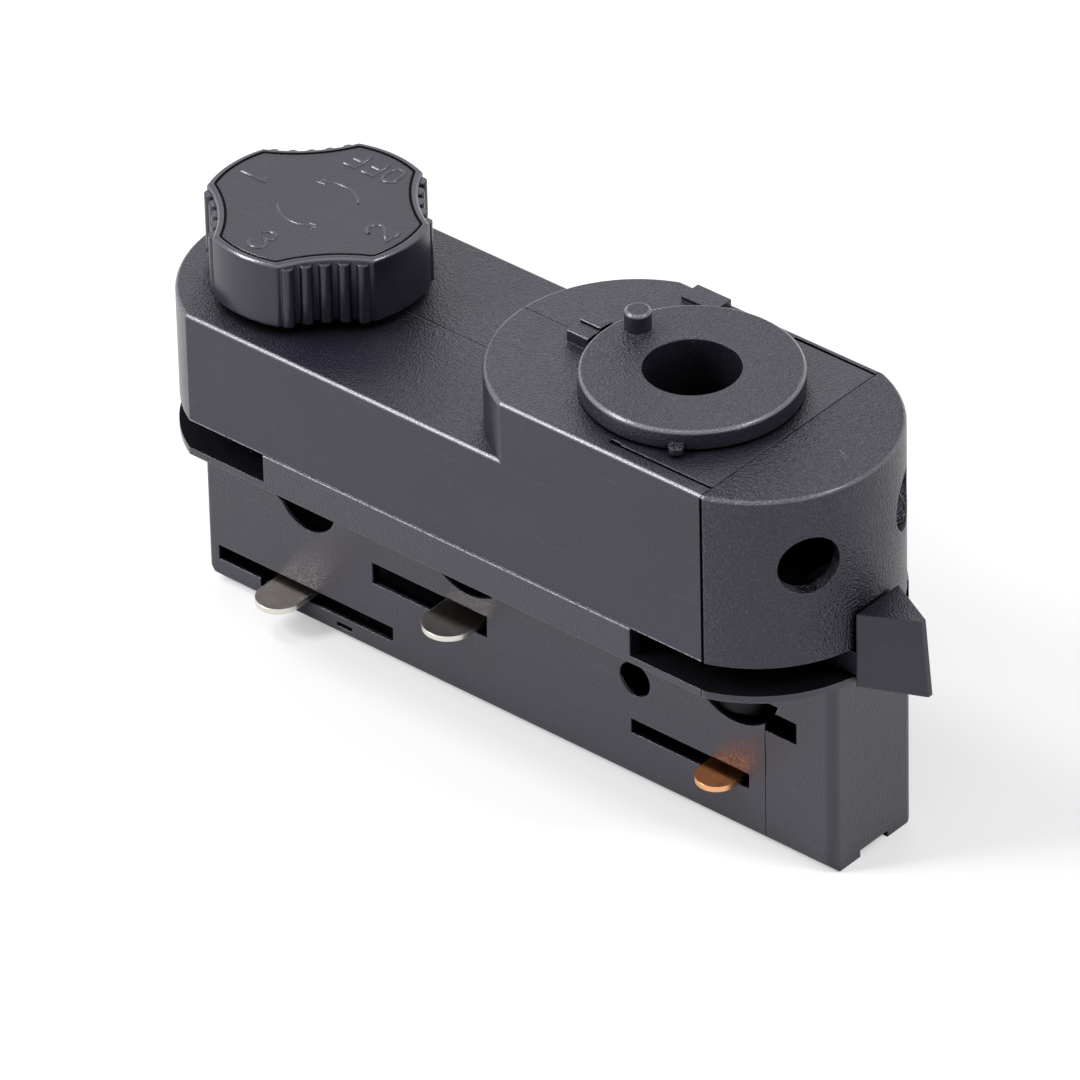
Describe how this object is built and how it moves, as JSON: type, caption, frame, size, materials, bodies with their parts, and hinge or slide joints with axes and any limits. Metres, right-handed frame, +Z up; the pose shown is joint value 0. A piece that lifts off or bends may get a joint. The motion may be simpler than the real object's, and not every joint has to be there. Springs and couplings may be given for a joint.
{
  "type": "track light adapter",
  "caption": "Adapter that hangs a lamp on a lighting track and feeds it: selector knob, swivel disc with bore, locking lever and swing-out contact blades.",
  "frame": {"origin": "on the axis of the swivel disc's bore, in the disc's top face", "axes": "+X from the knob end to the lever end, +Z up along the bore, away from the track, -Y the side the blades point to"},
  "size_m": [0.1218, 0.0366, 0.0662],
  "materials": {
    "housing_plastic": "satin charcoal, finely spark-eroded",
    "track_plastic": "satin charcoal, smoother than the housing",
    "knob_plastic": "satin charcoal with white markings",
    "lever_plastic": "satin charcoal",
    "disc_plastic": "satin charcoal",
    "inner_plastic": "dark grey moulded",
    "screw_steel": "zinc plated",
    "spring_steel": "plain spring steel",
    "silvered_metal": "silver plated, stamped",
    "copper": "bare copper, stamped",
    "terminal_brass": "plain brass",
    "washer_plastic": "natural nylon"
  },
  "bodies": {
    "housing": {"front_shell": "housing_plastic", "rear_shell": "housing_plastic", "end_housing": "housing_plastic", "track_body": "track_plastic", "track_body_end": "track_plastic", "bearing_plate": "inner_plastic", "terminal_carrier": "inner_plastic", "terminal_blocks": "terminal_brass", "terminal_screws": "screw_steel", "phase_contact": "silvered_metal", "neutral_contact": "silvered_metal", "earth_contact": "copper", "detent_spring": "spring_steel", "base_screws": "screw_steel", "cross_screws": "screw_steel", "end_screw": "screw_steel"},
    "selector": {"selector_knob": "knob_plastic", "knob_face_plate": "knob_plastic", "knob_screw": "screw_steel", "knob_clip": "spring_steel", "selector_shaft": "inner_plastic", "detent_wheel": "inner_plastic", "phase_blade": "silvered_metal"},
    "lever": {"locking_lever": "lever_plastic", "lever_shaft": "inner_plastic", "lever_crank_pin": "screw_steel", "earth_blade": "copper"},
    "neutral": {"neutral_rotor": "inner_plastic", "neutral_crank": "inner_plastic", "neutral_crank_pin": "screw_steel", "neutral_blade": "silvered_metal"},
    "link": {"link_bar": "spring_steel"},
    "swivel": {"swivel_disc": "disc_plastic", "retaining_ring": "spring_steel", "friction_washer": "washer_plastic"}
  },
  "joints": [
    {"name": "selector_turn", "type": "hinge", "parent": "housing", "child": "selector", "pos_m": [-0.0638, 0, 0], "axis": [0, 0, 1], "range_deg": [-90, 180]},
    {"name": "lever_swing", "type": "hinge", "parent": "housing", "child": "lever", "pos_m": [0.0106, 0, 0], "axis": [0, 0, 1], "range_deg": [-90, 0]},
    {"name": "neutral_turn", "type": "hinge", "parent": "housing", "child": "neutral", "pos_m": [-0.0348, 0, 0], "axis": [0, 0, 1], "range_deg": [-90, 0]},
    {"name": "link_pivot", "type": "hinge", "parent": "lever", "child": "link", "pos_m": [0.00742, 0.00318, 0], "axis": [0, 0, 1], "range_deg": [0, 90]},
    {"name": "swivel_turn", "type": "hinge", "parent": "housing", "child": "swivel", "pos_m": [0, 0, 0], "axis": [0, 0, 1], "range_deg": [-108, 220]}
  ],
  "couplings": [
    {"joint": "neutral_turn", "follows": "lever_swing", "ratio": 1},
    {"joint": "link_pivot", "follows": "lever_swing", "ratio": -1}
  ]
}
